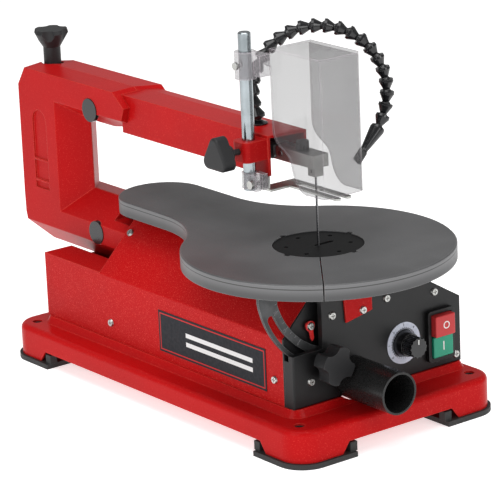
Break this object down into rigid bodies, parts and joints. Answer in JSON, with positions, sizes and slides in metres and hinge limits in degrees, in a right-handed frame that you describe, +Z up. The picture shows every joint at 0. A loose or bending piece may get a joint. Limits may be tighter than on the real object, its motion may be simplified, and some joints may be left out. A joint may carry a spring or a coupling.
{
  "type": "scroll saw",
  "caption": "Benchtop scroll saw with a parallel-arm C frame, tilting round table, clear swing-up blade guard, hold-down foot, blower hose and front dust port.",
  "frame": {"origin": "on the ground under the middle of the base, at the centre of the bench-bolt holes", "axes": "-Y towards the operator and the control panel, +Y towards the rear column, +X to the operator's right, +Z up"},
  "size_m": [0.278, 0.574, 0.3778],
  "materials": {
    "red_paint": "textured gloss enamel",
    "casing_paint": "satin textured enamel",
    "table_iron": "painted grey, ground rim",
    "insert_plastic": "matt",
    "rubber_black": "matt",
    "plastic_black": "fine texture",
    "plastic_gloss": "gloss",
    "plastic_red": "gloss",
    "plastic_green": "gloss",
    "plastic_clear": "clear, smoke tinted",
    "label_black": "printed, with a thin red border",
    "dial_print": "printed",
    "zinc_steel": "bright zinc",
    "blade_steel": "hardened",
    "arm_alloy": "cast",
    "motor_steel": "satin",
    "board_green": "lacquered",
    "scale_metal": "anodised, printed graduations"
  },
  "bodies": {
    "base": {"base_pan": "red_paint", "rubber_feet": "rubber_black", "motor_housing": "red_paint", "front_plate": "plastic_black", "cord_gland": "rubber_black", "front_cover": "plastic_black", "cover_screws": "zinc_steel", "housing_screws": "zinc_steel", "side_label": "label_black", "dust_port": "plastic_black", "switch_frame": "plastic_gloss", "dial_ring": "dial_print", "speed_control": "zinc_steel", "control_board": "board_green", "front_hinge": "red_paint", "rear_hinge": "zinc_steel", "tilt_pins": "zinc_steel", "angle_pointer": "plastic_red", "small_screws": "zinc_steel", "lock_nut": "zinc_steel", "casing_left": "casing_paint", "casing_right": "casing_paint", "pivot_plugs": "plastic_gloss", "pivot_pins": "zinc_steel", "arm_sleeve": "red_paint", "post_bracket": "red_paint", "motor": "motor_steel", "hose_socket": "plastic_gloss"},
    "table": {"table": "table_iron", "table_insert": "insert_plastic", "bevel_scale": "scale_metal"},
    "tilt_knob": {"tilt_knob": "plastic_gloss", "lock_bolt": "zinc_steel"},
    "speed_dial": {"speed_dial": "plastic_gloss"},
    "stop_button": {"stop_button": "plastic_red"},
    "start_button": {"start_button": "plastic_green"},
    "upper_arm": {"upper_arm": "arm_alloy", "arm_boot": "rubber_black"},
    "lower_arm": {"lower_arm": "arm_alloy"},
    "blade_set": {"upper_holder": "zinc_steel", "lower_holder": "zinc_steel", "holder_pins": "zinc_steel", "saw_blade": "blade_steel"},
    "upper_clamp": {"upper_clamp_screw": "plastic_gloss"},
    "lower_clamp": {"lower_clamp_screw": "plastic_gloss"},
    "tension_link": {"tension_link": "zinc_steel"},
    "tension_knob": {"tension_knob": "plastic_gloss"},
    "rotor": {"motor_shaft": "zinc_steel", "eccentric": "zinc_steel"},
    "connecting_rod": {"connecting_rod": "arm_alloy"},
    "guard_post": {"guard_post": "zinc_steel", "guard_clip": "plastic_clear", "foot_clip": "plastic_gloss", "guard_screws": "zinc_steel"},
    "post_knob": {"post_knob": "plastic_gloss"},
    "blade_guard": {"blade_guard": "plastic_clear"},
    "hold_down_foot": {"hold_down_foot": "zinc_steel"},
    "air_hose": {"air_hose": "plastic_gloss"},
    "hose_nozzle": {"hose_nozzle": "plastic_gloss"}
  },
  "joints": [
    {"name": "table_tilt", "type": "hinge", "parent": "base", "child": "table", "pos_m": [-0.0275, -0.154, 0.1665], "axis": [0, -1, 0], "range_deg": [0, 30]},
    {"name": "tilt_knob_turn", "type": "hinge", "parent": "base", "child": "tilt_knob", "pos_m": [-0.05811, -0.194, 0.0824], "axis": [0, 1, 0], "range_deg": [-90, 180]},
    {"name": "speed_dial_turn", "type": "hinge", "parent": "base", "child": "speed_dial", "pos_m": [0.0375, -0.199, 0.077], "axis": [0, 1, 0], "range_deg": [0, 270]},
    {"name": "stop_push", "type": "slide", "parent": "base", "child": "stop_button", "axis": [0, 1, 0], "range_m": [0, 0.003], "stiffness_N_per_m": 300, "springref_m": -0.001},
    {"name": "start_push", "type": "slide", "parent": "base", "child": "start_button", "axis": [0, 1, 0], "range_m": [0, 0.003], "stiffness_N_per_m": 300, "springref_m": -0.001},
    {"name": "upper_arm_rock", "type": "hinge", "parent": "base", "child": "upper_arm", "pos_m": [-0.0275, 0.158, 0.257], "axis": [1, 0, 0], "range_deg": [-1.9, 1.9]},
    {"name": "lower_arm_rock", "type": "hinge", "parent": "base", "child": "lower_arm", "pos_m": [-0.0275, 0.158, 0.1315], "axis": [1, 0, 0], "range_deg": [-1.9, 1.9]},
    {"name": "blade_set_turn", "type": "hinge", "parent": "upper_arm", "child": "blade_set", "pos_m": [-0.0275, -0.114, 0.259], "axis": [1, 0, 0], "range_deg": [-1.9, 1.9]},
    {"name": "upper_clamp_turn", "type": "hinge", "parent": "blade_set", "child": "upper_clamp", "pos_m": [-0.0275, -0.136, 0.265], "axis": [0, 0, 1], "range_deg": [-90, 180]},
    {"name": "lower_clamp_turn", "type": "hinge", "parent": "blade_set", "child": "lower_clamp", "pos_m": [-0.0275, -0.136, 0.1275], "axis": [0, 0, 1], "range_deg": [-90, 180]},
    {"name": "tension_link_turn", "type": "hinge", "parent": "upper_arm", "child": "tension_link", "pos_m": [-0.0275, 0.268, 0.257], "axis": [1, 0, 0], "range_deg": [-1.9, 1.9]},
    {"name": "tension_knob_turn", "type": "hinge", "parent": "tension_link", "child": "tension_knob", "pos_m": [-0.0275, 0.268, 0.289], "axis": [0, 0, 1], "range_deg": [-360, 360]},
    {"name": "rotor_spin", "type": "hinge", "parent": "base", "child": "rotor", "pos_m": [-0.0145, 0.059, 0.075], "axis": [1, 0, 0], "continuous": true},
    {"name": "rod_turn", "type": "hinge", "parent": "rotor", "child": "connecting_rod", "pos_m": [-0.0145, 0.0622, 0.075], "axis": [1, 0, 0], "continuous": true},
    {"name": "post_slide", "type": "slide", "parent": "base", "child": "guard_post", "axis": [0, 0, 1], "range_m": [-0.046, 0.004]},
    {"name": "post_knob_turn", "type": "hinge", "parent": "base", "child": "post_knob", "pos_m": [-0.0875, -0.105, 0.267], "axis": [1, 0, 0], "range_deg": [-90, 180]},
    {"name": "guard_swing", "type": "hinge", "parent": "guard_post", "child": "blade_guard", "pos_m": [-0.0505, -0.118, 0.351], "axis": [-1, 0, 0], "range_deg": [0, 80]},
    {"name": "foot_tilt", "type": "hinge", "parent": "guard_post", "child": "hold_down_foot", "pos_m": [-0.0575, -0.1165, 0.237], "axis": [1, 0, 0], "range_deg": [0, 15]},
    {"name": "hose_swing", "type": "hinge", "parent": "base", "child": "air_hose", "pos_m": [-0.03044, -0.07462, 0.2878], "axis": [0, 0, -1], "range_deg": [-60, 0]},
    {"name": "nozzle_turn", "type": "hinge", "parent": "air_hose", "child": "hose_nozzle", "pos_m": [0.04602, -0.15484, 0.27381], "axis": [-0.7607, -0.1161, -0.6386], "range_deg": [-90, 90]}
  ],
  "couplings": [
    {"joint": "lower_arm_rock", "follows": "upper_arm_rock", "ratio": 1},
    {"joint": "blade_set_turn", "follows": "upper_arm_rock", "ratio": -1},
    {"joint": "tension_link_turn", "follows": "upper_arm_rock", "ratio": -1},
    {"joint": "rod_turn", "follows": "rotor_spin", "ratio": -1}
  ]
}
